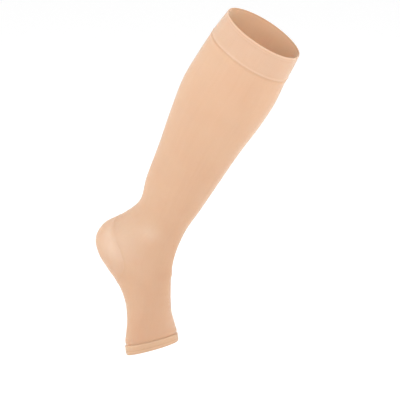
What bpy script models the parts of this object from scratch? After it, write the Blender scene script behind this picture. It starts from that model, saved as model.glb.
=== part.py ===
"""Open-toe, knee-high compression stocking in the hollow form that it keeps when worn.

The knitted tube is a thin wall on one surface. The surface runs through the rows of SECTIONS,
from the rim below the knee, down the leg, round the heel and on to the open toes. Four pieces lie
on it: the doubled top band, the leg and foot knitted as one tube, the heel pocket set into that
tube, and the toe band. The origin is the middle of the top band, where the wearer's leg holds it.
+Z is up, +X is the way the shin faces, and -Y is the inner side of the leg.
"""

import math
from collections import namedtuple

import bmesh
import bpy
from mathutils import Matrix, Vector

MM = 0.001

# Walls of the knit, and the gap that is left where two pieces meet (metres).
LEG_WALL = 0.0013
BAND_WALL = 0.0021
HEEL_WALL = 0.0016
BAND_PROUD = 0.0004
SEAM_GAP = 0.0003

# Where the pieces begin and end, measured down the middle of the tube from the rim (metres).
TOP_BAND_DEPTH = 0.0385
TOE_BAND_DEPTH = 0.014

# The heel pocket is an oval on the back of the tube: its middle and half length down the tube
# (metres), and how far round from the back it reaches on each side.
HEEL_MIDDLE = 0.412
HEEL_HALF_LENGTH = 0.048
HEEL_REACH = math.radians(88)

# How finely the tube is faceted.
COLUMNS = 36
ROW_SPACING = 0.014
HEEL_ROWS = 18
HEEL_COLUMNS = 12

# One row for each section of the tube. x, y, z: its centre. lean: how far the section's upward
# normal leans to +X. nod: how far it leans to -Y. turn: how far the shin side is turned from +X
# to -Y. depth: shin to back. width: inner to outer side. fuller: above 0 the section is wider
# towards the shin, below 0 towards the back. Lengths in millimetres, angles in degrees.
Section = namedtuple("Section", "name x y z lean nod turn depth width fuller")
SECTIONS = (
    Section("rim", 10, -4, 17, 31, 12, 16, 119, 112, 0.00),
    Section("band_edge", -11, 5, -18, 31, 12, 16, 127, 116, 0.02),
    Section("calf_top", -29, 13, -52, 31, 12, 16, 133, 118, 0.04),
    Section("calf", -50, 21, -88, 31, 12, 16, 132, 116, 0.05),
    Section("calf_low", -71, 29, -128, 31, 12, 17, 121, 106, 0.05),
    Section("shank", -97, 38, -183, 30, 12, 17, 106, 93, 0.04),
    Section("shank_low", -120, 48, -231, 29, 12, 17, 95, 79, 0.02),
    Section("ankle", -138, 57, -270, 29, 11, 18, 84, 68, 0.00),
    Section("heel_top", -157, 60, -294, 28, 8, 19, 100, 69, -0.05),
    Section("heel_mid", -175, 62, -313, 23, 4, 20, 124, 70, -0.08),
    Section("heel", -181, 61, -328, 18, 1, 21, 129, 70, -0.08),
    Section("heel_low", -179, 58, -343, 13, -1, 22, 121, 71, -0.08),
    Section("arch", -173, 55, -358, 8, -3, 24, 103, 72, -0.06),
    Section("instep", -165, 52, -376, 4, -5, 27, 83, 73, -0.05),
    Section("waist", -160, 48, -399, 0, -7, 31, 68, 73, 0.00),
    Section("mid_foot", -158, 45, -423, -5, -9, 35, 60, 79, 0.00),
    Section("ball", -156, 41, -446, -9, -11, 41, 56, 92, 0.00),
    Section("toe_edge", -153, 37, -472, -12, -12, 46, 57, 95, 0.00),
)

# Base colour and roughness of each knit.
TOP_BAND_KNIT = ((0.86, 0.62, 0.44), 0.80)
LEG_KNIT = ((0.80, 0.53, 0.35), 0.75)
HEEL_KNIT = ((0.84, 0.59, 0.41), 0.80)
TOE_BAND_KNIT = ((0.77, 0.50, 0.33), 0.80)


def section_distances():
    """Distance of each section from the rim, along the line through the centres (metres)."""
    distances = [0.0]
    for above, below in zip(SECTIONS, SECTIONS[1:]):
        step = Vector((below.x - above.x, below.y - above.y, below.z - above.z))
        distances.append(distances[-1] + step.length * MM)
    return distances


DISTANCES = section_distances()
TUBE_LENGTH = DISTANCES[-1]


def slope(index, column):
    """Rate of change of a column at a section: the three-point slope, one-sided at the ends."""
    last = len(SECTIONS) - 1
    value = [getattr(section, column) for section in SECTIONS]

    def chord(i):
        return (value[i + 1] - value[i]) / (DISTANCES[i + 1] - DISTANCES[i])

    if index == 0:
        return chord(0)
    if index == last:
        return chord(last - 1)
    before = DISTANCES[index] - DISTANCES[index - 1]
    after = DISTANCES[index + 1] - DISTANCES[index]
    return (chord(index - 1) * after + chord(index) * before) / (before + after)


def section_at(distance):
    """A section at any distance from the rim, on cubic curves through the rows of the table."""
    last = len(SECTIONS) - 2
    index = max(i for i in range(last + 1) if i == 0 or DISTANCES[i] <= distance)
    span = DISTANCES[index + 1] - DISTANCES[index]
    t = (distance - DISTANCES[index]) / span
    weights = (
        (1 + 2 * t) * (1 - t) ** 2,
        t * (1 - t) ** 2 * span,
        t * t * (3 - 2 * t),
        t * t * (t - 1) * span,
    )
    values = {}
    for column in Section._fields[1:]:
        knots = (
            getattr(SECTIONS[index], column),
            slope(index, column),
            getattr(SECTIONS[index + 1], column),
            slope(index + 1, column),
        )
        values[column] = sum(w * k for w, k in zip(weights, knots))
    return Section("between", **values)


def tube_point(distance, angle, proud=0.0):
    """A point of the tube's outer face. The angle is 0 at the back and grows past -Y."""
    section = section_at(distance)
    frame = (
        Matrix.Rotation(math.radians(section.lean), 3, "Y")
        @ Matrix.Rotation(math.radians(section.nod), 3, "X")
        @ Matrix.Rotation(math.radians(-section.turn), 3, "Z")
    )
    half_depth = section.depth / 2 * MM + proud
    half_width = section.width / 2 * MM + proud
    towards_shin = -math.cos(angle)
    towards_inner = math.sin(angle) * (1 + section.fuller * towards_shin)
    local = Vector((half_depth * towards_shin, -half_width * towards_inner, 0))
    return Vector((section.x, section.y, section.z)) * MM + frame @ local


def even_rows(start, end):
    """Distances from start to end, both included, about ROW_SPACING apart."""
    count = max(1, round((end - start) / ROW_SPACING))
    return [start + (end - start) * i / count for i in range(count + 1)]


def heel_edge(gap):
    """The heel pocket's pointed oval, widened by gap: (distance, angle from the back) by row."""
    mean_radius = 0.045
    length = HEEL_HALF_LENGTH + gap
    reach = HEEL_REACH + gap / mean_radius
    outline = []
    for row in range(HEEL_ROWS + 1):
        t = math.pi * row / HEEL_ROWS
        outline.append((HEEL_MIDDLE - length * math.cos(t), reach * math.sin(t) ** 1.5))
    return outline


def knit_sheet(name, rows, columns, wall, proud, knit):
    """A sheet of knit as a closed solid. Each row is (distance, first angle, last angle)."""
    sheet = bmesh.new()
    rings = []
    for distance, first, last in rows:
        full = abs(last - first - math.tau) < 1e-9
        ring = []
        for column in range(columns if full else columns + 1):
            angle = first + (last - first) * column / columns
            ring.append(sheet.verts.new(tube_point(distance, angle, proud)))
        rings.append(ring + ring[:1] if full else ring)
    for upper, lower in zip(rings, rings[1:]):
        for column in range(columns):
            corners = (upper[column], lower[column], lower[column + 1], upper[column + 1])
            sheet.faces.new(dict.fromkeys(corners))
    mesh = bpy.data.meshes.new(name)
    sheet.to_mesh(mesh)
    sheet.free()
    mesh.shade_smooth()
    piece = bpy.data.objects.new(name, mesh)
    bpy.context.collection.objects.link(piece)
    thickness = piece.modifiers.new("wall", "SOLIDIFY")
    thickness.thickness = wall
    thickness.offset = -1
    piece.data.materials.append(knit_material(name, knit))
    return piece


def knit_material(name, knit):
    """A plain matt material in the knit's colour."""
    colour, roughness = knit
    material = bpy.data.materials.new(name)
    material.use_nodes = True
    shader = material.node_tree.nodes["Principled BSDF"]
    shader.inputs["Base Color"].default_value = (*colour, 1)
    shader.inputs["Roughness"].default_value = roughness
    shader.inputs["Metallic"].default_value = 0.0
    return material


def full_rows(distances):
    return [(distance, 0.0, math.tau) for distance in distances]


def make_top_band():
    rows = full_rows(even_rows(0.0, TOP_BAND_DEPTH))
    return knit_sheet("top_band", rows, COLUMNS, BAND_WALL, BAND_PROUD, TOP_BAND_KNIT)


def make_leg_and_foot():
    """The tube from the top band to the toe band, with the hole that the heel pocket fills."""
    hole = heel_edge(SEAM_GAP)
    rows = full_rows(even_rows(TOP_BAND_DEPTH + SEAM_GAP, hole[0][0]))
    rows += [(distance, reach, math.tau - reach) for distance, reach in hole[1:-1]]
    rows += full_rows(even_rows(hole[-1][0], TUBE_LENGTH - TOE_BAND_DEPTH - SEAM_GAP))
    return knit_sheet("leg_and_foot", rows, COLUMNS, LEG_WALL, 0.0, LEG_KNIT)


def make_heel():
    rows = [(distance, -reach, reach) for distance, reach in heel_edge(0.0)[1:-1]]
    return knit_sheet("heel_pocket", rows, HEEL_COLUMNS, HEEL_WALL, 0.0, HEEL_KNIT)


def make_toe_band():
    rows = full_rows(even_rows(TUBE_LENGTH - TOE_BAND_DEPTH, TUBE_LENGTH))
    return knit_sheet("toe_band", rows, COLUMNS, BAND_WALL, BAND_PROUD, TOE_BAND_KNIT)


def main():
    for old in list(bpy.data.objects):
        bpy.data.objects.remove(old, do_unlink=True)
    make_top_band()
    make_leg_and_foot()
    make_heel()
    make_toe_band()


main()
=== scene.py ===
"""Finish of the open-toe, knee-high compression stocking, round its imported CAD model.

Every knit piece is a thin shell on the same surface as its solid. The surface runs through the rows
of SECTIONS, from the rim down to the toes. Seams, folds and soft creases are raised from it, and
the knit itself is drawn by the material, wale by wale, along each piece's own map.
"""

import math
from collections import namedtuple

import bmesh
import bpy
from mathutils import Matrix, Vector


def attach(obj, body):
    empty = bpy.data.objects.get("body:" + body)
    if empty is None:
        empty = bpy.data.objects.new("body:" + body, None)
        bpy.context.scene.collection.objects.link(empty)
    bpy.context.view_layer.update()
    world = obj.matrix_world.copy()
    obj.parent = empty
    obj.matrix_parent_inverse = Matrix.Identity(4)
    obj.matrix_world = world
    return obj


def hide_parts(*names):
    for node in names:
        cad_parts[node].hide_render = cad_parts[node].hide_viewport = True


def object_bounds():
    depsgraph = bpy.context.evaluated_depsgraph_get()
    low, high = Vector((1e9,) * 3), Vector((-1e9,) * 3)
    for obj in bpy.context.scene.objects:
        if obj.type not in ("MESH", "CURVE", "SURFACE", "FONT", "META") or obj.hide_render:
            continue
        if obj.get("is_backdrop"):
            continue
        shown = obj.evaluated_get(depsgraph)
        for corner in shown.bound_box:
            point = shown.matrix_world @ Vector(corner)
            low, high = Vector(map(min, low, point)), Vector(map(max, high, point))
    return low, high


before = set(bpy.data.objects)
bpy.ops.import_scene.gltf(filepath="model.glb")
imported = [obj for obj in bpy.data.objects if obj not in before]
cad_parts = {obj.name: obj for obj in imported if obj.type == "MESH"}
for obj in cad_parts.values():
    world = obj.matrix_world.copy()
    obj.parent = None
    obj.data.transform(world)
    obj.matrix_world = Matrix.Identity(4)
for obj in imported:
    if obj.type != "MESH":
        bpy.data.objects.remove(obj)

bl_info = {
    "name": "Compression stocking",
    "version": (1, 0, 0),
    "blender": (4, 5, 0),
    "location": "3D Viewport > Sidebar > Stocking",
    "description": "Knit, seams and studio for an open-toe, knee-high compression stocking",
    "category": "Object",
}

MM = 0.001
BODY = "root"

# What each piece's mesh carries: the place round and down the tube, the place across and down the
# piece from 0 to 1, and how strong the painted highlight on the knit is at each point.
KNIT_MAP = "knit"
POCKET_MAP = "pocket"
PAINTED_HIGHLIGHT = "stretch"

# How finely the shapes are faceted, besides what the sizes in the panel say. Rows of faces lie close
# together beside a seam and on the outer side of a band, and wider apart on its inner side.
SEAM_STEP = 0.0007
SEAM_ROWS = 8
FOLD_STEPS = 8
BAND_STEP = 0.0009
BAND_INNER_STEP = 0.004
SEAM_POINTS = 180
WALL_SHARP_ANGLE = math.radians(50)
BAND_SHARP_ANGLE = math.radians(60)

# The tube's sections, as in the part's source: millimetres and degrees.
Section = namedtuple("Section", "name x y z lean nod turn depth width fuller")
SECTIONS = (
    Section("rim", 10, -4, 17, 31, 12, 16, 119, 112, 0.00),
    Section("band_edge", -11, 5, -18, 31, 12, 16, 127, 116, 0.02),
    Section("calf_top", -29, 13, -52, 31, 12, 16, 133, 118, 0.04),
    Section("calf", -50, 21, -88, 31, 12, 16, 132, 116, 0.05),
    Section("calf_low", -71, 29, -128, 31, 12, 17, 121, 106, 0.05),
    Section("shank", -97, 38, -183, 30, 12, 17, 106, 93, 0.04),
    Section("shank_low", -120, 48, -231, 29, 12, 17, 95, 79, 0.02),
    Section("ankle", -138, 57, -270, 29, 11, 18, 84, 68, 0.00),
    Section("heel_top", -157, 60, -294, 28, 8, 19, 100, 69, -0.05),
    Section("heel_mid", -175, 62, -313, 23, 4, 20, 124, 70, -0.08),
    Section("heel", -181, 61, -328, 18, 1, 21, 129, 70, -0.08),
    Section("heel_low", -179, 58, -343, 13, -1, 22, 121, 71, -0.08),
    Section("arch", -173, 55, -358, 8, -3, 24, 103, 72, -0.06),
    Section("instep", -165, 52, -376, 4, -5, 27, 83, 73, -0.05),
    Section("waist", -160, 48, -399, 0, -7, 31, 68, 73, 0.00),
    Section("mid_foot", -158, 45, -423, -5, -9, 35, 60, 79, 0.00),
    Section("ball", -156, 41, -446, -9, -11, 41, 56, 92, 0.00),
    Section("toe_edge", -153, 37, -472, -12, -12, 46, 57, 95, 0.00),
)

# Soft creases in the worn knit. distance: from the rim. angle: round from the back, past the inner
# side. length, width: half sizes along and across the crease. height: below 0 is a trough.
# slant: 0 runs round the tube, 90 runs down it. Millimetres and degrees.
Crease = namedtuple("Crease", "distance angle length width height slant")
CREASES = (
    # Short pulls over the toe band.
    Crease(529, 118, 15, 2.6, -0.60, 10),
    Crease(524, 132, 12, 2.4, 0.40, 16),
    Crease(530, 158, 12, 2.4, -0.55, -8),
    Crease(529, 246, 16, 2.8, -0.50, 10),
    Crease(531, 318, 12, 2.5, -0.40, -16),
    # Faint ones across the foot.
    Crease(484, 140, 20, 4.5, -0.50, 2),
    Crease(470, 104, 14, 4.5, 0.25, -8),
    Crease(500, 236, 20, 4.4, -0.40, -6),
    # Across the bend over the instep.
    Crease(400, 232, 13, 5.0, -0.40, 3),
    Crease(415, 240, 11, 4.4, 0.25, -5),
    Crease(436, 230, 12, 5.0, -0.30, 6),
    Crease(408, 146, 12, 6.0, -0.25, 8),
    # Above the heel, where the knit turns outwards.
    Crease(352, 322, 18, 5.0, -0.45, 16),
    Crease(344, 296, 15, 4.4, -0.30, 20),
    # Under the arch.
    Crease(470, 342, 15, 4.8, -0.40, 8),
    Crease(460, 322, 12, 4.2, 0.30, -10),
    # Below the top band.
    Crease(50, 76, 34, 3.4, -0.30, 3),
    Crease(53, 118, 30, 3.6, 0.20, 5),
    Crease(56, 228, 34, 4.5, -0.35, -3),
    Crease(50, 300, 26, 4.0, -0.30, 5),
)

# The worn knit is a little fuller over the two sides of the ankle and along the foot.
SOFT_ROUNDS = (
    Crease(347, 99, 13, 12, 1.6, 0),
    Crease(352, 258, 13, 12, 1.4, 0),
    Crease(516, 200, 12, 9, 0.8, 0),
    Crease(508, 228, 24, 12, 1.0, 80),
)

# Painted highlights on the leg's knit: over the rounds, and in a wide soft patch along the heel
# pocket's edge. height: how strong the painted highlight is, up to 1.
PAINTED_HIGHLIGHT_PLACES = (
    Crease(347, 97, 13, 12, 0.62, 0),
    Crease(352, 258, 13, 12, 0.45, 0),
    Crease(350, 86, 26, 22, 0.25, 0),
    Crease(352, 270, 24, 22, 0.3, 0),
    Crease(516, 200, 12, 9, 0.28, 0),
    Crease(508, 228, 24, 12, 0.35, 80),
    Crease(382, 72, 40, 24, 0.9, 43),
    Crease(382, 289, 40, 24, 0.85, -43),
)

# A crease is left out farther down the tube than CREASE_REACH (millimetres), and where it has faded
# to exp(-CREASE_FADED) of its height.
CREASE_REACH = 60
CREASE_FADED = 9

# Low ridges that run right round the knit beside an edge. height: below 0 is a groove. away: from
# the edge to the ridge's middle. half_width: from its middle to where it ends. Millimetres.
Ridge = namedtuple("Ridge", "height away half_width")

# The leg's knit swells a little where each band grips, and dips into the seam itself.
BELOW_TOP_BAND = (Ridge(0.30, 4.2, 2.6), Ridge(-0.50, 0.4, 2.2))
ABOVE_TOE_BAND = (Ridge(0.80, 7.5, 6.0), Ridge(-0.75, 0.2, 2.6))

# Each band has a raised seam. The top band also has two faint ribs under its rim, and the toe band
# a stitched line near its fold.
TOP_BAND_SEAM = Ridge(0.32, 1.4, 1.6)
TOP_BAND_RIBS = (Ridge(-0.24, 3.3, 1.1), Ridge(-0.24, 6.0, 1.1))
TOE_BAND_SEAM = Ridge(0.40, 1.4, 1.6)
TOE_BAND_LINE = Ridge(-0.45, 5.8, 1.2)

# How far each band rounds out across its depth, and how far it waves in and out (millimetres). The
# toe band's crown goes with sin ** TOE_CROWN_POWER across it. The top band's wave dies away down
# RIM_WAVE_DEPTH, and the toe band's fold draws in a little.
TOP_BAND_CROWN = 0.25
TOE_BAND_CROWN = 0.75
TOE_CROWN_POWER = 0.7
TOP_BAND_WAVE = 0.22
TOE_BAND_WAVE = 0.18
RIM_WAVE_DEPTH = 20
TOE_DRAW_IN = 1.0

# The waves round a free edge: (how many, start in radians, share).
RIM_WAVES = ((3, 0.7, 1.0), (5, 2.1, 0.6))
TOE_WAVES = ((4, 1.3, 1.0),)

# The heel pocket is a pointed oval: half its width goes with sin ** OVAL_POINT down its length. Its
# low ridge is at a share of the way from the middle to the edge.
OVAL_POINT = 1.5
HEEL_RIDGE_HEIGHT = 0.35
HEEL_RIDGE_PLACE = 0.88
HEEL_RIDGE_HALF_WIDTH = 0.12

# Height over the plain tube at which each row of stitches lies, how high the heel's loops lie on
# the pocket, and how far a stitch rises (millimetres). The bands' stitches slant across their seam
# (radians).
TOP_STITCHES_HEIGHT = 0.66
TOE_STITCHES_HEIGHT = 1.02
HEEL_LOOPS_HEIGHT = 0.12
STITCH_RISE = 0.10
STITCH_SLANT = 0.62

# Tone down a piece: (distance in millimetres, lightness). The leg's and heel's are from the rim: the
# leg's is lighter at the calf and deeper towards the foot, and the heel's is deeper low down on its
# sole side, as painted shade. The bands' are from their own rim or seam: painted highlights on a
# fold and on a seam's ridge, painted shade in a groove, in a stitched line and on the toe band's
# lower fold.
LEG_RAMP = (
    (40, 1.00),
    (100, 0.985),
    (135, 0.96),
    (240, 0.93),
    (340, 0.91),
    (450, 0.89),
    (540, 0.88),
)
HEEL_RAMP = ((362, 0.98), (385, 1.00), (394, 0.99), (406, 0.955), (424, 0.915), (462, 0.910))
BAND_RAMP = (
    (0, 1.10),
    (1.6, 1.07),
    (3.1, 0.95),
    (4.6, 1.03),
    (6.1, 0.96),
    (7.5, 1.00),
    (34, 0.99),
    (36.6, 1.10),
    (38.5, 1.00),
)
# The inner face darkens next to the rim's fold: painted shade inside the opening.
BAND_INSIDE_RAMP = ((0, 0.66), (1.0, 0.76), (2.6, 0.99), (38.5, 1.00))
TOE_RAMP = (
    (0, 0.96),
    (1.2, 1.10),
    (2.6, 1.00),
    (7.4, 0.97),
    (8.6, 0.88),
    (9.8, 1.02),
    (14, 0.86),
)
# The inner face darkens next to the toe band's fold: painted shade.
TOE_INSIDE_RAMP = ((0, 1.00), (11.5, 0.99), (13, 0.78), (14, 0.70))

# A deeper tone is also a slightly redder one: the lightness is raised to these powers for red,
# green and blue.
DEEPENING = (0.8, 1.15, 1.35)

# The shape of one loop of the knit. V_SLANT: how steeply its two legs rise, in courses to a wale.
# V_ROUNDING: below 1 the legs are fuller. V_DEPTH: the share of its height that comes and goes
# with each course.
V_SLANT = 1.6
V_ROUNDING = 0.6
V_DEPTH = 0.6

# How the knit's pattern darkens its colour: where the darkening starts and ends on that part of the
# pattern, and what it multiplies the colour by. The furrow's is painted shade between the wales; the
# streaks and mottle are the knit's own tone, uneven at random.
KNIT_SHADES = (
    ("Furrow", 0.25, 1.0, (0.88, 0.84, 0.80)),
    ("Streak", 0.35, 0.75, (0.970, 0.955, 0.942)),
    ("Mottle", 0.35, 0.75, (0.985, 0.955, 0.945)),
)

# How strong the painted highlight near the heel pocket's edge is, across it and down it: (share of
# the way, amount). Then the painted highlight's light, on the heel pocket and on the leg.
POCKET_HIGHLIGHT_ACROSS = ((0.0, 0.75), (0.10, 1.0), (0.30, 0.0), (0.70, 0.0), (0.90, 1.0), (1.0, 0.75))
POCKET_HIGHLIGHT_DOWN = ((0.0, 0.0), (0.20, 0.50), (0.42, 1.0), (0.56, 0.30), (0.68, 0.0))
POCKET_HIGHLIGHT_COLOUR = (0.14, 0.13, 0.11)
LEG_HIGHLIGHT_COLOUR = (0.115, 0.110, 0.095)

# The studio, in metres. A lamp's offset and AIM_OFFSET, where the camera looks, are from the
# stocking's middle. A lamp's power is the name of the setting that gives it.
Lamp = namedtuple("Lamp", "name offset size power colour")
LAMPS = (
    Lamp("key", (-1.9, -0.7, 0.9), 1.4, "key_power", (0.93, 0.98, 1.0)),
    Lamp("front", (1.1, -1.7, 1.1), 0.9, "front_power", (1.0, 0.98, 0.96)),
    Lamp("left edge", (-1.6, 1.3, 0.5), 1.0, "edge_power", (1.0, 0.97, 0.93)),
    Lamp("right edge", (1.7, 0.9, 0.3), 1.0, "edge_power", (1.0, 0.82, 0.68)),
)
FLOOR_REACH = 6.0
AIM_OFFSET = (0.0087, 0.0, -0.0195)


# ---------------------------------------------------------------- the tube's surface


def section_distances():
    """Distance of each section from the rim, along the line through the centres (metres)."""
    distances = [0.0]
    for above, below in zip(SECTIONS, SECTIONS[1:]):
        step = Vector((below.x - above.x, below.y - above.y, below.z - above.z))
        distances.append(distances[-1] + step.length * MM)
    return distances


DISTANCES = section_distances()
TUBE_LENGTH = DISTANCES[-1]


def slope(index, column):
    """Rate of change of a column at a section: the three-point slope, one-sided at the ends."""
    last = len(SECTIONS) - 1
    value = [getattr(section, column) for section in SECTIONS]

    def chord(i):
        return (value[i + 1] - value[i]) / (DISTANCES[i + 1] - DISTANCES[i])

    if index == 0:
        return chord(0)
    if index == last:
        return chord(last - 1)
    before = DISTANCES[index] - DISTANCES[index - 1]
    after = DISTANCES[index + 1] - DISTANCES[index]
    return (chord(index - 1) * after + chord(index) * before) / (before + after)


def section_at(distance):
    """A section at any distance from the rim, on cubic curves through the rows of the table."""
    last = len(SECTIONS) - 2
    index = max(i for i in range(last + 1) if i == 0 or DISTANCES[i] <= distance)
    span = DISTANCES[index + 1] - DISTANCES[index]
    t = (distance - DISTANCES[index]) / span
    weights = (
        (1 + 2 * t) * (1 - t) ** 2,
        t * (1 - t) ** 2 * span,
        t * t * (3 - 2 * t),
        t * t * (t - 1) * span,
    )
    values = {}
    for column in Section._fields[1:]:
        knots = (
            getattr(SECTIONS[index], column),
            slope(index, column),
            getattr(SECTIONS[index + 1], column),
            slope(index + 1, column),
        )
        values[column] = sum(w * k for w, k in zip(weights, knots))
    return Section("between", **values)


class Ring:
    """One section of the tube, ready to give points at any angle round it."""

    def __init__(self, distance):
        self.distance = distance
        self.section = section_at(distance)
        self.centre = Vector((self.section.x, self.section.y, self.section.z)) * MM
        self.frame = (
            Matrix.Rotation(math.radians(self.section.lean), 3, "Y")
            @ Matrix.Rotation(math.radians(self.section.nod), 3, "X")
            @ Matrix.Rotation(math.radians(-self.section.turn), 3, "Z")
        )
        self.radius = (self.section.depth + self.section.width) / 4 * MM

    def point(self, angle, proud=0.0):
        """A point at an angle from the back, past -Y, raised from the surface by proud."""
        half_depth = self.section.depth / 2 * MM + proud
        half_width = self.section.width / 2 * MM + proud
        towards_shin = -math.cos(angle)
        towards_inner = math.sin(angle) * (1 + self.section.fuller * towards_shin)
        local = Vector((half_depth * towards_shin, -half_width * towards_inner, 0))
        return self.centre + self.frame @ local

    def outward(self, angle):
        """The direction away from the tube's middle at an angle, in the section's plane."""
        return (self.point(angle, MM) - self.point(angle, -MM)).normalized()


def relief(ring, angle, shapes=CREASES + SOFT_ROUNDS):
    """Height of the soft creases and rounds above the plain tube at one place (metres)."""
    total = 0.0
    for crease in shapes:
        down = ring.distance - crease.distance * MM
        if abs(down) > CREASE_REACH * MM:
            continue
        turned = (angle - math.radians(crease.angle) + math.pi) % math.tau - math.pi
        around = turned * ring.radius
        slant = math.radians(crease.slant)
        along = around * math.cos(slant) + down * math.sin(slant)
        across = down * math.cos(slant) - around * math.sin(slant)
        reach = (along / (crease.length * MM)) ** 2 + (across / (crease.width * MM)) ** 2
        if reach < CREASE_FADED:
            total += crease.height * MM * math.exp(-reach)
    return total


def swell(distance, middle, half_width):
    """1 at the middle, falling smoothly to 0 past the half width."""
    t = abs(distance - middle) / half_width
    return 0.0 if t >= 1 else (1 - t * t) ** 2


def ridge_height(away, *ridges):
    """Height of the ridges beside an edge, this far away from it (metres)."""
    return sum(
        ridge.height * MM * swell(away, ridge.away * MM, ridge.half_width * MM)
        for ridge in ridges
    )


def waved(angle, waves):
    """Sum of the waves round an edge, at an angle."""
    return sum(share * math.sin(count * angle + start) for count, start, share in waves)


# ---------------------------------------------------------------- sheets of knit


# A row of a sheet: its points, where each lies on the knit map, how strong the painted highlight is
# at each, and the row's share of the way down.
Row = namedtuple("Row", "points across down stretch share")


def grid_mesh(name, rows, closed_rows, closed_columns=False):
    """A mesh of quads over the rows, with the knit map on it.

    closed_rows says for each row whether its last point meets its first. closed_columns joins the
    last row to the first, for a profile that goes right round. The pocket map runs from 0 to 1
    across and down the piece. The painted highlight's strength is kept on the points.
    """
    sheet = bmesh.new()
    stretch = sheet.verts.layers.float.new(PAINTED_HIGHLIGHT)
    knit = sheet.loops.layers.uv.new(KNIT_MAP)
    pocket = sheet.loops.layers.uv.new(POCKET_MAP)
    grid = []
    for row, closed in zip(rows, closed_rows):
        ring = []
        for point, highlight_amount in zip(row.points[:-1] if closed else row.points, row.stretch):
            ring.append(sheet.verts.new(point))
            ring[-1][stretch] = highlight_amount
        grid.append(ring + ring[:1] if closed else ring)
    pairs = list(zip(range(len(rows)), range(1, len(rows))))
    if closed_columns:
        pairs.append((len(rows) - 1, 0))
    for upper, lower in pairs:
        for column in range(len(grid[upper]) - 1):
            places = (
                (upper, column),
                (lower, column),
                (lower, column + 1),
                (upper, column + 1),
            )
            corners = {}
            for line, place in places:
                corners.setdefault(grid[line][place], (line, place))
            if len(corners) < 3:
                continue
            face = sheet.faces.new(corners)
            for loop in face.loops:
                line, place = corners[loop.vert]
                row = rows[line]
                loop[knit].uv = (row.across[place], row.down)
                loop[pocket].uv = (place / (len(row.across) - 1), row.share)
    mesh = bpy.data.meshes.new(name)
    sheet.to_mesh(mesh)
    sheet.free()
    return mesh


def put_in_scene(name, data):
    """A new object in the scene, at the origin."""
    item = bpy.data.objects.new(name, data)
    bpy.context.scene.collection.objects.link(item)
    return item


def finished_mesh(holder, name):
    """The plain mesh that the holder's modifiers make. The holder itself goes."""
    evaluated = holder.evaluated_get(bpy.context.evaluated_depsgraph_get())
    mesh = bpy.data.meshes.new_from_object(evaluated)
    mesh.name = name
    bpy.data.objects.remove(holder)
    return mesh


def place_piece(name, mesh, node):
    """Puts a finished knit piece in place of a CAD node."""
    piece = put_in_scene(name, mesh)
    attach(piece, BODY)
    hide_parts(node)
    return piece


def thicken(mesh, wall, knits):
    """Gives an open sheet its wall, inwards, and returns the closed shell's mesh."""
    for knit in knits:
        mesh.materials.append(knit)
    mesh.shade_smooth()
    holder = put_in_scene(mesh.name, mesh)
    solidify = holder.modifiers.new("wall", "SOLIDIFY")
    solidify.thickness = wall
    solidify.offset = -1
    solidify.material_offset = 1
    shell = finished_mesh(holder, mesh.name)
    shell.shade_smooth()
    shell.set_sharp_from_angle(angle=WALL_SHARP_ANGLE)
    return shell


def arc_angles(first, last, columns):
    return [first + (last - first) * column / columns for column in range(columns + 1)]


def knit_row(distance, angles, height, share=0.0):
    """A row of the sheet at a distance from the rim; height(ring, angle) raises it."""
    ring = Ring(distance)
    points = [ring.point(angle, height(ring, angle)) for angle in angles]
    # The strength of the painted highlight at each point, from soft shapes like the creases'.
    stretch = [relief(ring, angle, PAINTED_HIGHLIGHT_PLACES) / MM for angle in angles]
    return Row(points, [angle / math.tau for angle in angles], distance, stretch, share)


def spread(start, end, spacing):
    """Distances from start to end, both included, about spacing apart."""
    count = max(1, round((end - start) / spacing))
    return [start + (end - start) * i / count for i in range(count + 1)]


def heel_outline(sizes):
    """The heel pocket's pointed oval: (distance, angle from the back) down its edge."""
    outline = []
    for row in range(sizes.heel_rows + 1):
        t = math.pi * row / sizes.heel_rows
        distance = sizes.heel_middle - sizes.heel_half_length * math.cos(t)
        outline.append((distance, sizes.heel_reach * math.sin(t) ** OVAL_POINT))
    return outline


def leg_height(sizes):
    """Height of the leg and foot's knit over the plain tube, as a function of place."""
    top = sizes.top_band_depth
    toe = TUBE_LENGTH - sizes.toe_band_depth

    def height(ring, angle):
        upper = ridge_height(ring.distance - top, *BELOW_TOP_BAND)
        lower = ridge_height(toe - ring.distance, *ABOVE_TOE_BAND)
        return relief(ring, angle) + upper + lower

    return height


def heel_height(sizes):
    """The heel pocket is looser knit, so it stands slightly proud in a low ridge at its edge."""
    body = leg_height(sizes)

    def height(ring, angle):
        along = (ring.distance - sizes.heel_middle) / sizes.heel_half_length
        turned = (angle + math.pi) % math.tau - math.pi
        open_half = sizes.heel_reach * max(1e-6, 1 - along * along) ** (OVAL_POINT / 2)
        inside = min(1.0, abs(turned) / open_half) if abs(along) < 1 else 1.0
        ridge = HEEL_RIDGE_HEIGHT * MM * swell(inside, HEEL_RIDGE_PLACE, HEEL_RIDGE_HALF_WIDTH)
        return body(ring, angle) + ridge

    return height


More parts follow.
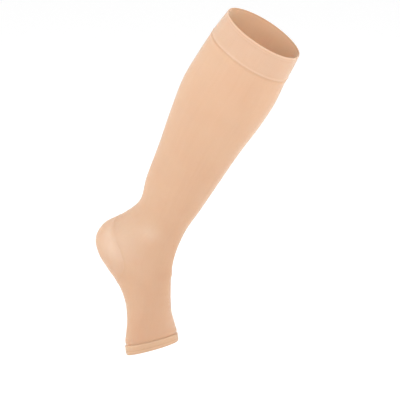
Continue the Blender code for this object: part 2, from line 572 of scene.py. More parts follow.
def make_leg_and_foot(sizes, colours):
    height = leg_height(sizes)
    hole = heel_outline(sizes)
    columns = sizes.columns
    end = TUBE_LENGTH - sizes.toe_band_depth
    full = arc_angles(0.0, math.tau, columns)
    above = spread(sizes.top_band_depth, hole[0][0], sizes.row_spacing)
    above += [sizes.top_band_depth + step * SEAM_STEP for step in range(1, SEAM_ROWS + 1)]
    below = spread(hole[-1][0], end, sizes.row_spacing)
    below += [end - step * SEAM_STEP for step in range(1, SEAM_ROWS + 1)]
    rows = [knit_row(distance, full, height) for distance in sorted(above)]
    closed = [True] * len(above)
    for distance, reach in hole[1:-1]:
        rows.append(knit_row(distance, arc_angles(reach, math.tau - reach, columns), height))
        closed.append(False)
    rows += [knit_row(distance, full, height) for distance in sorted(below)]
    closed += [True] * len(below)
    mesh = grid_mesh("leg_and_foot_knit", rows, closed)
    knits = knit_pair("leg", colours.leg_tone, (LEG_RAMP, LEG_RAMP), sizes, colours)
    paint_leg_highlights(knits[0])
    shell = thicken(mesh, sizes.leg_wall, knits)
    piece = place_piece("leg_and_foot_knit", shell, "leg_and_foot")


def make_heel_pocket(sizes, colours):
    height = heel_height(sizes)
    rows = []
    for line, (distance, reach) in enumerate(heel_outline(sizes)[1:-1], start=1):
        angles = arc_angles(-reach, reach, sizes.heel_columns)
        rows.append(knit_row(distance, angles, height, line / sizes.heel_rows))
    mesh = grid_mesh("heel_pocket_knit", rows, [False] * len(rows))
    knits = knit_pair("heel", colours.heel_tone, (HEEL_RAMP, HEEL_RAMP), sizes, colours)
    paint_pocket_highlight(knits[0])
    shell = thicken(mesh, sizes.leg_wall, knits)
    piece = place_piece("heel_pocket_knit", shell, "heel_pocket")
    loops = make_heel_loops(sizes, colours)


def fold_profile(start, end, wall, proud, face):
    """The closed profile of a doubled band: (distance, height, on the inside) right round it.

    The fold is at start. face(distance) is added to the outer side.
    """
    inner = proud - wall
    radius = wall / 2
    sign = 1 if end > start else -1
    middle = proud - radius
    profile = []
    for step in range(FOLD_STEPS + 1):
        t = math.pi * step / FOLD_STEPS
        reach = start + sign * radius * (1 - math.sin(t))
        profile.append((reach, middle - radius * math.cos(t), t < math.pi / 2))
    outer_start = start + sign * radius
    span = abs(end - outer_start)
    count = round(span / BAND_STEP)
    for step in range(1, count + 1):
        distance = outer_start + sign * span * step / count
        profile.append((distance, proud + face(distance), False))
    profile.append((end, inner, True))
    inner_steps = round(span / BAND_INNER_STEP)
    for step in range(1, inner_steps):
        profile.append((end - sign * span * step / inner_steps, inner, True))
    return profile


def face_outwards(mesh):
    """Turns a closed shell's faces so that they point out of the cloth."""
    shell = bmesh.new()
    shell.from_mesh(mesh)
    if shell.calc_volume(signed=True) < 0:
        bmesh.ops.reverse_faces(shell, faces=shell.faces)
    shell.to_mesh(mesh)
    shell.free()
    mesh.shade_smooth()
    mesh.set_sharp_from_angle(angle=BAND_SHARP_ANGLE)


def band_mesh(name, profile, columns, height, knits):
    """A tube with a closed profile: each of its rows is a full ring."""
    angles = arc_angles(0.0, math.tau, columns)
    rows = []
    for distance, proud, _ in profile:
        ring = Ring(min(max(distance, 0.0), TUBE_LENGTH))
        points = [ring.point(angle, proud + height(ring, angle)) for angle in angles]
        across = [angle / math.tau for angle in angles]
        rows.append(Row(points, across, distance, [0.0] * len(angles), 0.0))
    mesh = grid_mesh(name, rows, [True] * len(rows), closed_columns=True)
    face_outwards(mesh)
    for knit in knits:
        mesh.materials.append(knit)
    for face in mesh.polygons:
        face.material_index = int(profile[face.index // columns][2])
    return mesh


def make_top_band(sizes, colours):
    depth = sizes.top_band_depth

    def face(distance):
        crown = TOP_BAND_CROWN * MM * swell(distance, depth / 2, depth / 2)
        seam = ridge_height(depth - distance, TOP_BAND_SEAM)
        return crown + seam + ridge_height(distance, *TOP_BAND_RIBS)

    def height(ring, angle):
        free = max(0.0, 1 - ring.distance / (RIM_WAVE_DEPTH * MM))
        return TOP_BAND_WAVE * MM * free * waved(angle, RIM_WAVES)

    profile = fold_profile(0.0, depth, sizes.band_wall, sizes.band_proud, face)
    ramps = (BAND_RAMP, BAND_INSIDE_RAMP)
    knits = knit_pair("top band", colours.top_band_tone, ramps, sizes, colours)
    mesh = band_mesh("top_band_knit", profile, sizes.columns, height, knits)
    piece = place_piece("top_band_knit", mesh, "top_band")
    seam = depth - TOP_BAND_SEAM.away * MM
    stitches = sew("top_band_stitches", seam, TOP_STITCHES_HEIGHT * MM, sizes, colours)


def make_toe_band(sizes, colours):
    start = TUBE_LENGTH
    end = TUBE_LENGTH - sizes.toe_band_depth

    def face(distance):
        t = min(max((distance - end) / sizes.toe_band_depth, 0.0), 1.0)
        crown = TOE_BAND_CROWN * MM * math.sin(math.pi * t) ** TOE_CROWN_POWER
        seam = ridge_height(distance - end, TOE_BAND_SEAM)
        return crown + seam + ridge_height(start - distance, TOE_BAND_LINE)

    def height(ring, angle):
        low = max(0.0, (ring.distance - end) / sizes.toe_band_depth)
        return TOE_BAND_WAVE * MM * waved(angle, TOE_WAVES) - TOE_DRAW_IN * MM * low**2

    profile = fold_profile(start, end, sizes.band_wall, sizes.band_proud, face)
    ramps = (TOE_RAMP, TOE_INSIDE_RAMP)
    knits = knit_pair("toe band", colours.toe_band_tone, ramps, sizes, colours, end)
    mesh = band_mesh("toe_band_knit", profile, sizes.columns, height, knits)
    piece = place_piece("toe_band_knit", mesh, "toe_band")
    seam = end + TOE_BAND_SEAM.away * MM
    stitches = sew("toe_band_stitches", seam, TOE_STITCHES_HEIGHT * MM, sizes, colours)


# ---------------------------------------------------------------- stitches


def seam_path(name, places):
    """A line of edges along a seam, with the way out of the cloth kept at each of its points.

    places is [(distance, angle, proud)]; a path whose ends meet is closed.
    """
    line = bmesh.new()
    points = []
    outs = []
    for distance, angle, proud in places:
        ring = Ring(distance)
        points.append(line.verts.new(ring.point(angle, proud)))
        outs.append(ring.outward(angle))
    for here, there in zip(points, points[1:] + points[:1]):
        line.edges.new((here, there))
    mesh = bpy.data.meshes.new(name)
    line.to_mesh(mesh)
    line.free()
    outward = mesh.attributes.new("outward", "FLOAT_VECTOR", "POINT")
    for item, out in zip(outward.data, outs):
        item.vector = out
    return mesh


def stitch_tree():
    """Geometry Nodes: one small raised stitch at every step along a path of edges."""
    name = "Row of stitches"
    if name in bpy.data.node_groups:
        return bpy.data.node_groups[name]
    tree = bpy.data.node_groups.new(name, "GeometryNodeTree")
    face = tree.interface
    face.new_socket("Path", in_out="INPUT", socket_type="NodeSocketGeometry")
    for label, default in (
        ("Spacing", 0.002),
        ("Length", 0.0017),
        ("Rise", 0.0003),
        ("Thread", 0.00022),
        ("Slant", 0.5),
    ):
        socket = face.new_socket(label, in_out="INPUT", socket_type="NodeSocketFloat")
        socket.default_value = default
    face.new_socket("Material", in_out="INPUT", socket_type="NodeSocketMaterial")
    face.new_socket("Stitches", in_out="OUTPUT", socket_type="NodeSocketGeometry")
    node = tree.nodes.new
    link = tree.links.new
    given = node("NodeGroupInput")
    result = node("NodeGroupOutput")

    path = node("GeometryNodeMeshToCurve")
    link(given.outputs["Path"], path.inputs["Mesh"])
    steps = node("GeometryNodeResampleCurve")
    steps.mode = "LENGTH"
    link(path.outputs["Curve"], steps.inputs["Curve"])
    link(given.outputs["Spacing"], steps.inputs["Length"])

    def corner(size, factor, axis):
        """A point on one axis, at a size times a factor."""
        scaled = node("ShaderNodeMath")
        scaled.operation = "MULTIPLY"
        scaled.inputs[1].default_value = factor
        link(given.outputs[size], scaled.inputs[0])
        point = node("ShaderNodeCombineXYZ")
        link(scaled.outputs[0], point.inputs[axis])
        return point.outputs[0]

    # One stitch: a thread that rises out of the knit and goes back in.
    arch = node("GeometryNodeCurveQuadraticBezier")
    arch.inputs["Resolution"].default_value = 5
    link(corner("Length", -0.5, "X"), arch.inputs["Start"])
    link(corner("Rise", 2.0, "Z"), arch.inputs["Middle"])
    link(corner("Length", 0.5, "X"), arch.inputs["End"])
    round_thread = node("GeometryNodeCurvePrimitiveCircle")
    round_thread.inputs["Resolution"].default_value = 6
    link(given.outputs["Thread"], round_thread.inputs["Radius"])
    thread = node("GeometryNodeCurveToMesh")
    thread.inputs["Fill Caps"].default_value = True
    link(arch.outputs["Curve"], thread.inputs["Curve"])
    link(round_thread.outputs["Curve"], thread.inputs["Profile Curve"])

    # Each stitch faces out of the cloth and lies across its seam at the slant.
    tangent = node("GeometryNodeInputTangent")
    outward = node("GeometryNodeInputNamedAttribute")
    outward.data_type = "FLOAT_VECTOR"
    outward.inputs["Name"].default_value = "outward"
    along = node("FunctionNodeAlignRotationToVector")
    along.axis = "X"
    link(tangent.outputs["Tangent"], along.inputs["Vector"])
    up = node("FunctionNodeAlignRotationToVector")
    up.axis = "Z"
    up.pivot_axis = "X"
    link(along.outputs["Rotation"], up.inputs["Rotation"])
    link(outward.outputs["Attribute"], up.inputs["Vector"])
    tilt = node("ShaderNodeCombineXYZ")
    link(given.outputs["Slant"], tilt.inputs["Z"])
    turn = node("FunctionNodeEulerToRotation")
    link(tilt.outputs[0], turn.inputs["Euler"])
    both = node("FunctionNodeRotateRotation")
    both.rotation_space = "LOCAL"
    link(up.outputs["Rotation"], both.inputs["Rotation"])
    link(turn.outputs["Rotation"], both.inputs["Rotate By"])

    row = node("GeometryNodeInstanceOnPoints")
    link(steps.outputs["Curve"], row.inputs["Points"])
    link(thread.outputs["Mesh"], row.inputs["Instance"])
    link(both.outputs["Rotation"], row.inputs["Rotation"])
    real = node("GeometryNodeRealizeInstances")
    link(row.outputs["Instances"], real.inputs["Geometry"])
    finish = node("GeometryNodeSetMaterial")
    link(real.outputs["Geometry"], finish.inputs["Geometry"])
    link(given.outputs["Material"], finish.inputs["Material"])
    link(finish.outputs["Geometry"], result.inputs["Stitches"])
    return tree


def stitch_row(name, path, values, material):
    """Runs the stitch tree over a path and returns the plain mesh piece."""
    tree = stitch_tree()
    holder = put_in_scene(name + "_path", path)
    modifier = holder.modifiers.new("stitches", "NODES")
    modifier.node_group = tree
    for item in tree.interface.items_tree:
        if item.in_out == "INPUT" and item.name in values:
            modifier[item.identifier] = values[item.name]
        if item.in_out == "INPUT" and item.name == "Material":
            modifier[item.identifier] = material
    mesh = finished_mesh(holder, name)
    if "outward" in mesh.attributes:
        mesh.attributes.remove(mesh.attributes["outward"])
    mesh.shade_smooth()
    piece = put_in_scene(name, mesh)
    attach(piece, BODY)
    return piece


def thread_material(colours):
    """The elastic sewing thread: the knit's colour, a little paler and smoother."""
    name = "seam thread"
    if name in bpy.data.materials:
        return bpy.data.materials[name]
    material = bpy.data.materials.new(name)
    material.use_nodes = True
    nodes = material.node_tree.nodes
    link = material.node_tree.links.new
    shader = nodes["Principled BSDF"]
    place = nodes.new("ShaderNodeTexCoord")
    twist = nodes.new("ShaderNodeTexWave")
    twist.inputs["Scale"].default_value = 900
    twist.inputs["Distortion"].default_value = 1.5
    link(place.outputs["Object"], twist.inputs["Vector"])
    # The thread is darker where its twist's bump is low: painted shade in the grooves.
    tone = nodes.new("ShaderNodeMix")
    tone.data_type = "RGBA"
    pale = tuple(colours.thread_tone)
    tone.inputs["A"].default_value = (*(channel * 0.9 for channel in pale), 1)
    tone.inputs["B"].default_value = (*pale, 1)
    link(twist.outputs["Fac"], tone.inputs["Factor"])
    link(tone.outputs["Result"], shader.inputs["Base Color"])
    bump = nodes.new("ShaderNodeBump")
    bump.inputs["Strength"].default_value = 0.4
    bump.inputs["Distance"].default_value = 0.00005
    link(twist.outputs["Fac"], bump.inputs["Height"])
    link(bump.outputs["Normal"], shader.inputs["Normal"])
    shader.inputs["Roughness"].default_value = 0.62
    shader.inputs["Sheen Weight"].default_value = 0.3
    shader.inputs["Sheen Roughness"].default_value = 0.4
    return material


def sew(name, distance, proud, sizes, colours):
    """A slanting row of stitches right round the tube at a distance from the rim."""
    turns = [math.tau * point / SEAM_POINTS for point in range(SEAM_POINTS)]
    places = [(distance, angle, proud) for angle in turns]
    values = {
        "Spacing": sizes.stitch_spacing,
        "Length": sizes.stitch_length,
        "Rise": STITCH_RISE * MM,
        "Thread": sizes.thread_radius,
        "Slant": STITCH_SLANT,
    }
    return stitch_row(name, seam_path(name, places), values, thread_material(colours))


def make_heel_loops(sizes, colours):
    """The row of widened loops along the heel pocket's edge."""
    height = heel_height(sizes)
    outline = heel_outline(sizes)[1:-1]
    places = []
    for side in (1, -1):
        line = outline if side == 1 else outline[::-1]
        for distance, reach in line:
            angle = side * reach
            proud = height(Ring(distance), angle) + HEEL_LOOPS_HEIGHT * MM
            places.append((distance, angle, proud))
    values = {
        "Spacing": 2.3 * MM,
        "Length": 1.5 * MM,
        "Rise": STITCH_RISE * MM,
        "Thread": 0.17 * MM,
        "Slant": math.radians(90),
    }
    path = seam_path("heel_pocket_loops", places)
    return stitch_row("heel_pocket_loops", path, values, thread_material(colours))


# ---------------------------------------------------------------- knit materials


def knit_group():
    """Shader group: the stitches, streaks and rings of a fine knit, from the knit map."""
    name = "Fine knit"
    if name in bpy.data.node_groups:
        return bpy.data.node_groups[name]
    tree = bpy.data.node_groups.new(name, "ShaderNodeTree")
    face = tree.interface
    face.new_socket("Map", in_out="INPUT", socket_type="NodeSocketVector")
    for label, default in (("Wales", 420.0), ("Courses", 1500.0)):
        socket = face.new_socket(label, in_out="INPUT", socket_type="NodeSocketFloat")
        socket.default_value = default
    for label in ("Height", "Furrow", "Streak", "Mottle"):
        face.new_socket(label, in_out="OUTPUT", socket_type="NodeSocketFloat")
    nodes = tree.nodes
    link = tree.links.new
    given = nodes.new("NodeGroupInput")
    result = nodes.new("NodeGroupOutput")

    def maths(operation, first, second=None):
        step = nodes.new("ShaderNodeMath")
        step.operation = operation
        for socket, value in zip(step.inputs, (first, second)):
            if value is None:
                continue
            if isinstance(value, (int, float)):
                socket.default_value = value
            else:
                link(value, socket)
        return step.outputs[0]

    split = nodes.new("ShaderNodeSeparateXYZ")
    link(given.outputs["Map"], split.inputs[0])
    wale = maths("MULTIPLY", split.outputs["X"], given.outputs["Wales"])
    course = maths("MULTIPLY", split.outputs["Y"], given.outputs["Courses"])

    # Each wale is a chain of Vs: two legs, each slanting up to the furrow between wales.
    place = maths("FRACT", wale)
    from_middle = maths("ABSOLUTE", maths("SUBTRACT", place, 0.5))
    slanted = maths("ADD", course, maths("MULTIPLY", from_middle, V_SLANT))
    turn = maths("SINE", maths("MULTIPLY", slanted, math.tau))
    loop = maths("ADD", maths("MULTIPLY", turn, 0.5), 0.5)
    leg = maths("SINE", maths("MULTIPLY", from_middle, math.tau))
    body = maths("POWER", maths("ABSOLUTE", leg), V_ROUNDING)
    depth = maths("ADD", maths("MULTIPLY", loop, V_DEPTH), 1 - V_DEPTH)
    height = maths("MULTIPLY", body, depth)
    furrow = maths("SUBTRACT", 1.0, body)

    def noise(across, down, detail):
        spot = nodes.new("ShaderNodeCombineXYZ")
        link(maths("MULTIPLY", split.outputs["X"], across), spot.inputs["X"])
        link(maths("MULTIPLY", split.outputs["Y"], down), spot.inputs["Y"])
        cloud = nodes.new("ShaderNodeTexNoise")
        cloud.inputs["Scale"].default_value = 1.0
        cloud.inputs["Detail"].default_value = detail
        link(spot.outputs[0], cloud.inputs["Vector"])
        return cloud.outputs["Fac"]

    # Streaks follow the wales for a long way; rings are faint and follow the courses.
    streaks = maths("MULTIPLY", noise(across=95.0, down=9.0, detail=3.0), 0.7)
    rings = maths("MULTIPLY", noise(across=3.0, down=260.0, detail=2.0), 0.3)
    link(height, result.inputs["Height"])
    link(furrow, result.inputs["Furrow"])
    link(maths("ADD", streaks, rings), result.inputs["Streak"])
    link(noise(across=7.0, down=22.0, detail=3.0), result.inputs["Mottle"])
    return tree


def colour_ramp(nodes, stops):
    """A smooth colour ramp node through (position, colour) stops."""
    ramp = nodes.new("ShaderNodeValToRGB")
    ramp.color_ramp.interpolation = "EASE"
    while len(ramp.color_ramp.elements) < len(stops):
        ramp.color_ramp.elements.new(0.5)
    for stop, (position, colour) in zip(ramp.color_ramp.elements, stops):
        stop.position = position
        stop.color = (*colour, 1)
    return ramp


def knit_material(name, tone, ramp, sizes, start=0.0):
    """A knit's material: its colour down the tube, its stitches, streaks and soft sheen.

    start is where the ramp's 0 is, from the rim.
    """
    material = bpy.data.materials.new(name)
    material.use_nodes = True
    nodes = material.node_tree.nodes
    link = material.node_tree.links.new
    shader = nodes["Principled BSDF"]

    place = nodes.new("ShaderNodeUVMap")
    place.uv_map = KNIT_MAP
    knit = nodes.new("ShaderNodeGroup")
    knit.node_tree = knit_group()
    link(place.outputs["UV"], knit.inputs["Map"])
    knit.inputs["Wales"].default_value = sizes.wales
    knit.inputs["Courses"].default_value = sizes.courses

    split = nodes.new("ShaderNodeSeparateXYZ")
    link(place.outputs["UV"], split.inputs[0])
    first = ramp[0][0]
    last = ramp[-1][0]
    down = nodes.new("ShaderNodeMapRange")
    down.inputs["From Min"].default_value = start + first * MM
    down.inputs["From Max"].default_value = start + last * MM
    link(split.outputs["Y"], down.inputs["Value"])
    stops = []
    for distance, lightness in ramp:
        colour = [channel * lightness**power for channel, power in zip(tone, DEEPENING)]
        stops.append(((distance - first) / (last - first), colour))
    shades = colour_ramp(nodes, stops)
    link(down.outputs["Result"], shades.inputs["Fac"])

    def shaded(colour, mask, low, high, dark):
        """Multiplies the colour by a dark one, more and more from low to high on the mask."""
        amount = nodes.new("ShaderNodeMapRange")
        amount.inputs["From Min"].default_value = low
        amount.inputs["From Max"].default_value = high
        link(mask, amount.inputs["Value"])
        mix = nodes.new("ShaderNodeMix")
        mix.data_type = "RGBA"
        mix.blend_type = "MULTIPLY"
        mix.inputs["B"].default_value = (*dark, 1)
        link(amount.outputs["Result"], mix.inputs["Factor"])
        link(colour, mix.inputs["A"])
        return mix.outputs["Result"]

    # Painted shade in the furrows between wales, then the knit's random streaks and mottle.
    shade = shades.outputs["Color"]
    for pattern, low, high, dark in KNIT_SHADES:
        shade = shaded(shade, knit.outputs[pattern], low, high, dark)
    link(shade, shader.inputs["Base Color"])

    rough = nodes.new("ShaderNodeMapRange")
    rough.inputs["To Min"].default_value = 0.66
    rough.inputs["To Max"].default_value = 0.86
    link(knit.outputs["Furrow"], rough.inputs["Value"])
    link(rough.outputs["Result"], shader.inputs["Roughness"])

    bump = nodes.new("ShaderNodeBump")
    bump.inputs["Strength"].default_value = 0.55
    bump.inputs["Distance"].default_value = sizes.knit_relief
    link(knit.outputs["Height"], bump.inputs["Height"])
    link(bump.outputs["Normal"], shader.inputs["Normal"])

    # The knit is thin enough to let some light through.
    shader.inputs["Subsurface Weight"].default_value = 0.45
    shader.inputs["Subsurface Radius"].default_value = (1.0, 0.65, 0.45)
    shader.inputs["Subsurface Scale"].default_value = 2.5 * MM
    shader.inputs["Specular IOR Level"].default_value = 0.35
    shader.inputs["Sheen Weight"].default_value = 1.0
    shader.inputs["Sheen Roughness"].default_value = 0.2
    shader.inputs["Sheen Tint"].default_value = (1.0, 0.93, 0.86, 1)
    return material


def knit_pair(piece, tone, ramps, sizes, colours, start=0.0):
    """The materials of a piece's outer and inner face."""
    return (
        knit_material(f"{piece} knit", tone, ramps[0], sizes, start),
        # The inner face's colour carries painted light inside the opening.
        knit_material(f"inside of the {piece}", colours.inside_tone_with_painted_light, ramps[1], sizes, start),
    )


def paint_pocket_highlight(material):
    """Paints a highlight on the heel pocket near its edge, most of all low down."""
    nodes = material.node_tree.nodes
    link = material.node_tree.links.new
    place = nodes.new("ShaderNodeUVMap")
    place.uv_map = POCKET_MAP
    split = nodes.new("ShaderNodeSeparateXYZ")
    link(place.outputs["UV"], split.inputs[0])
    highlight_crescent = nodes.new("ShaderNodeMath")
    highlight_crescent.operation = "MULTIPLY"
    for axis, amounts in enumerate((POCKET_HIGHLIGHT_ACROSS, POCKET_HIGHLIGHT_DOWN)):
        ramp = colour_ramp(nodes, [(share, (amount,) * 3) for share, amount in amounts])
        link(split.outputs[axis], ramp.inputs["Fac"])
        link(ramp.outputs["Color"], highlight_crescent.inputs[axis])
    paler(material, highlight_crescent.outputs[0], POCKET_HIGHLIGHT_COLOUR)


def paint_leg_highlights(material):
    """Paints highlights on the leg's knit, as strong as its painted-highlight attribute."""
    nodes = material.node_tree.nodes
    highlight_amount = nodes.new("ShaderNodeAttribute")
    highlight_amount.attribute_name = PAINTED_HIGHLIGHT
    paler(material, highlight_amount.outputs["Fac"], LEG_HIGHLIGHT_COLOUR)


def paler(material, mask, light):
    """Screens light over the material's colour where the mask is above 0."""
    nodes = material.node_tree.nodes
    link = material.node_tree.links.new
    shader = nodes["Principled BSDF"]
    knit_colour = shader.inputs["Base Color"].links[0].from_socket
    pale = nodes.new("ShaderNodeMix")
    pale.data_type = "RGBA"
    pale.blend_type = "SCREEN"
    pale.inputs["B"].default_value = (*light, 1)
    link(mask, pale.inputs["Factor"])
    link(knit_colour, pale.inputs["A"])
    link(pale.outputs["Result"], shader.inputs["Base Color"])


# ---------------------------------------------------------------- studio


def make_stage(studio):
    """The pale floor, the white surround, the soft lights and the camera."""
    low, high = (Vector(corner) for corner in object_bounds())
    centre = (low + high) / 2
    make_floor(low.z - studio.toe_room, studio.floor_glow)
    make_surround(studio.surround)
    for lamp in LAMPS:
        add_light(lamp, getattr(studio, lamp.power), centre)
    make_camera(centre + Vector(AIM_OFFSET), studio)
    bpy.context.scene.view_settings.view_transform = "Standard"
    bpy.context.scene.view_settings.look = "None"


def make_floor(level, glow):
    """A wide pale floor that glows a little, so that it stays as white as the surround."""
    floor = bmesh.new()
    corners = ((-1, -1), (1, -1), (1, 1), (-1, 1))
    floor.faces.new(
        [floor.verts.new((x * FLOOR_REACH, y * FLOOR_REACH, level)) for x, y in corners]
    )
    mesh = bpy.data.meshes.new("floor")
    floor.to_mesh(mesh)
    floor.free()
    paper = bpy.data.materials.new("pale floor")
    paper.use_nodes = True
    shader = paper.node_tree.nodes["Principled BSDF"]
    shader.inputs["Base Color"].default_value = (0.95, 0.95, 0.95, 1)
    shader.inputs["Emission Color"].default_value = (1.0, 1.0, 1.0, 1)
    shader.inputs["Emission Strength"].default_value = glow
    shader.inputs["Roughness"].default_value = 0.9
    shader.inputs["Specular IOR Level"].default_value = 0.1
    mesh.materials.append(paper)
    put_in_scene("floor", mesh)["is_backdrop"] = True


def make_surround(strength):
    """A surround that looks as white as the floor, and lights the cloth a little less."""
    world = bpy.data.worlds.new("white surround")
    bpy.context.scene.world = world
    world.use_nodes = True
    nodes = world.node_tree.nodes
    link = world.node_tree.links.new
    lit = nodes["Background"]
    lit.inputs["Color"].default_value = (1.0, 1.0, 1.0, 1)
    lit.inputs["Strength"].default_value = strength
    seen = nodes.new("ShaderNodeBackground")
    seen.inputs["Color"].default_value = (1.0, 1.0, 1.0, 1)
    path = nodes.new("ShaderNodeLightPath")
    choose = nodes.new("ShaderNodeMixShader")
    link(path.outputs["Is Camera Ray"], choose.inputs["Fac"])
    link(lit.outputs["Background"], choose.inputs[1])
    link(seen.outputs["Background"], choose.inputs[2])
    link(choose.outputs["Shader"], nodes["World Output"].inputs["Surface"])


def add_light(lamp, power, target):
    """A large soft square light, at its offset from the target and turned to it."""
    light = bpy.data.lights.new(lamp.name, "AREA")
    light.shape = "SQUARE"
    light.size = lamp.size
    light.energy = power
    light.color = lamp.colour
    holder = put_in_scene(lamp.name, light)
    holder.location = target + Vector(lamp.offset)
    holder.visible_camera = False
    holder.rotation_euler = (-Vector(lamp.offset)).to_track_quat("-Z", "Y").to_euler()


def make_camera(aim, studio):
    """A long lens that looks along +Y and a little down."""
    elevation = studio.camera_elevation
    away = Vector((0.0, -math.cos(elevation), math.sin(elevation)))
    camera = bpy.data.cameras.new("camera")
    camera.lens = studio.lens
    camera.sensor_width = 36.0
    camera.clip_end = 50
    view = put_in_scene("camera", camera)
    view.location = aim + away * studio.camera_distance
    view.rotation_euler = (-away).to_track_quat("-Z", "Y").to_euler()
    bpy.context.scene.camera = view


# ---------------------------------------------------------------- add-on


def length_property(name, description, default):
    return bpy.props.FloatProperty(
        name=name, description=description, default=default, unit="LENGTH"
    )


def power_property(name, description, default):
    return bpy.props.FloatProperty(
        name=name, description=description, default=default, unit="POWER"
    )


def colour_property(name, description, default):
    return bpy.props.FloatVectorProperty(
        name=name, description=description, default=default, subtype="COLOR", min=0, max=1
    )


class StockingSizes(bpy.types.PropertyGroup):
    top_band_depth: length_property(
        "Top band depth", "From the rim to the seam of the doubled top band", 0.0385
    )
    toe_band_depth: length_property(
        "Toe band depth", "From the toe opening to the seam of the doubled toe band", 0.014
    )
    leg_wall: length_property("Leg wall", "Thickness of the single knit", 0.0013)
    band_wall: length_property("Band wall", "Thickness of the doubled bands", 0.0021)
    band_proud: length_property(
        "Band stands out", "How far the bands stand out from the leg's knit", 0.0004
    )
    heel_middle: length_property(
        "Heel middle", "Distance from the rim to the middle of the heel pocket", 0.412
    )
    heel_half_length: length_property(
        "Heel half length", "Half the length of the heel pocket, down the tube", 0.048
    )
    heel_reach: bpy.props.FloatProperty(
        name="Heel reach",
        description="How far round from the back the heel pocket goes on each side",
        default=math.radians(88),
        subtype="ANGLE",
    )
    columns: bpy.props.IntProperty(
        name="Columns", description="Faces round the tube", default=160, min=12
    )
    heel_rows: bpy.props.IntProperty(
        name="Heel rows", description="Rows of faces down the heel pocket", default=72, min=8
    )
    heel_columns: bpy.props.IntProperty(
        name="Heel columns", description="Faces across the heel pocket", default=48, min=6
    )
    row_spacing: length_property(
        "Row spacing", "Distance between rows of faces down the tube", 0.0026
    )
    wales: bpy.props.FloatProperty(
        name="Wales", description="Columns of loops round the tube", default=420
    )
    courses: bpy.props.FloatProperty(
        name="Courses", description="Rows of loops in each metre down the tube", default=1450
    )
    knit_relief: length_property("Knit relief", "Height of a loop of the knit", 0.00012)
    stitch_spacing: length_property(
        "Stitch spacing", "Distance between stitches along a band's seam", 0.0020
    )
    stitch_length: length_property(
        "Stitch length", "Length of each stitch of a band's seam", 0.0019
    )
    thread_radius: length_property(
        "Thread radius", "Half the thickness of the sewing thread", 0.00020
    )


class StockingColours(bpy.types.PropertyGroup):
    top_band_tone: colour_property(
        "Top band", "Colour of the top band's knit", (0.650, 0.440, 0.309)
    )
    leg_tone: colour_property("Leg", "Colour of the leg's knit", (0.645, 0.424, 0.283))
    heel_tone: colour_property("Heel", "Colour of the heel pocket", (0.630, 0.414, 0.282))
    toe_band_tone: colour_property(
        "Toe band", "Colour of the toe band's knit", (0.622, 0.412, 0.268)
    )
    # Paler than the outer knit: the knit's own inner colour with painted light inside the opening.
    inside_tone_with_painted_light: colour_property(
        "Inside", "Colour of the knit's inner face", (0.86, 0.63, 0.43)
    )
    thread_tone: colour_property("Thread", "Colour of the sewing thread", (0.72, 0.49, 0.34))


class StudioSettings(bpy.types.PropertyGroup):
    toe_room: length_property("Room for the toes", "Height of the toe band over the floor", 0.042)
    edge_power: power_property("Edge lights", "Power of each of the two lights behind", 7)
    floor_glow: bpy.props.FloatProperty(
        name="Floor glow", description="Light that comes up through the floor", default=0.16
    )
    surround: bpy.props.FloatProperty(
        name="Surround", description="Strength of the white surround", default=0.86
    )
    key_power: power_property("Key light", "Power of the light at the side", 18)
    front_power: power_property(
        "Front light", "Power of the light in front, which reaches into the top opening", 15
    )
    camera_elevation: bpy.props.FloatProperty(
        name="Camera elevation",
        description="How far above level the camera looks from",
        default=math.radians(15),
        subtype="ANGLE",
    )
    camera_distance: length_property(
        "Camera distance", "From the camera to the stocking's middle", 2.2117
    )
    lens: bpy.props.FloatProperty(
        name="Lens", description="Focal length in millimetres", default=135
    )


class MakeLegAndFoot(bpy.types.Operator):
    """Make the fine tube of the leg and foot"""

    bl_idname = "stocking.make_leg_and_foot"
    bl_label = "Leg and foot"

    def execute(self, context):
        make_leg_and_foot(context.scene.stocking_sizes, context.scene.stocking_colours)
        return {"FINISHED"}


class MakeHeelPocket(bpy.types.Operator):
    """Make the heel pocket and the loops along its edge"""

    bl_idname = "stocking.make_heel_pocket"
    bl_label = "Heel pocket"

    def execute(self, context):
        make_heel_pocket(context.scene.stocking_sizes, context.scene.stocking_colours)
        return {"FINISHED"}


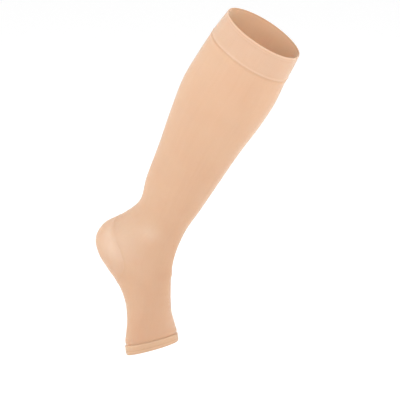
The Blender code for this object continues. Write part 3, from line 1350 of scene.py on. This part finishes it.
class MakeTopBand(bpy.types.Operator):
    """Make the doubled top band and its seam"""

    bl_idname = "stocking.make_top_band"
    bl_label = "Top band"

    def execute(self, context):
        make_top_band(context.scene.stocking_sizes, context.scene.stocking_colours)
        return {"FINISHED"}


class MakeToeBand(bpy.types.Operator):
    """Make the doubled toe band and its seam"""

    bl_idname = "stocking.make_toe_band"
    bl_label = "Toe band"

    def execute(self, context):
        make_toe_band(context.scene.stocking_sizes, context.scene.stocking_colours)
        return {"FINISHED"}


class MakeStage(bpy.types.Operator):
    """Make the floor, lights, surround and camera"""

    bl_idname = "stocking.make_stage"
    bl_label = "Stage"

    def execute(self, context):
        make_stage(context.scene.stocking_studio)
        return {"FINISHED"}


class StockingPanel(bpy.types.Panel):
    """Lists the stocking's pieces and their sizes"""

    bl_idname = "VIEW3D_PT_stocking"
    bl_label = "Compression stocking"
    bl_space_type = "VIEW_3D"
    bl_region_type = "UI"
    bl_category = "Stocking"

    def draw(self, context):
        layout = self.layout
        for group in GROUPS:
            settings = getattr(context.scene, group)
            box = layout.box()
            for field in settings.__annotations__:
                box.prop(settings, field)
        for operator in OPERATORS:
            layout.operator(operator.bl_idname)


GROUPS = {
    "stocking_sizes": StockingSizes,
    "stocking_colours": StockingColours,
    "stocking_studio": StudioSettings,
}
OPERATORS = (MakeLegAndFoot, MakeHeelPocket, MakeTopBand, MakeToeBand, MakeStage)
CLASSES = (*GROUPS.values(), *OPERATORS, StockingPanel)


def register():
    for item in CLASSES:
        bpy.utils.register_class(item)
    for name, group in GROUPS.items():
        setattr(bpy.types.Scene, name, bpy.props.PointerProperty(type=group))


def unregister():
    for name in GROUPS:
        delattr(bpy.types.Scene, name)
    for item in reversed(CLASSES):
        bpy.utils.unregister_class(item)


def main():
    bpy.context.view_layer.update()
    register()
    bpy.ops.stocking.make_leg_and_foot()
    bpy.ops.stocking.make_heel_pocket()
    bpy.ops.stocking.make_top_band()
    bpy.ops.stocking.make_toe_band()
    bpy.ops.stocking.make_stage()


if __name__ == "__main__":
    main()
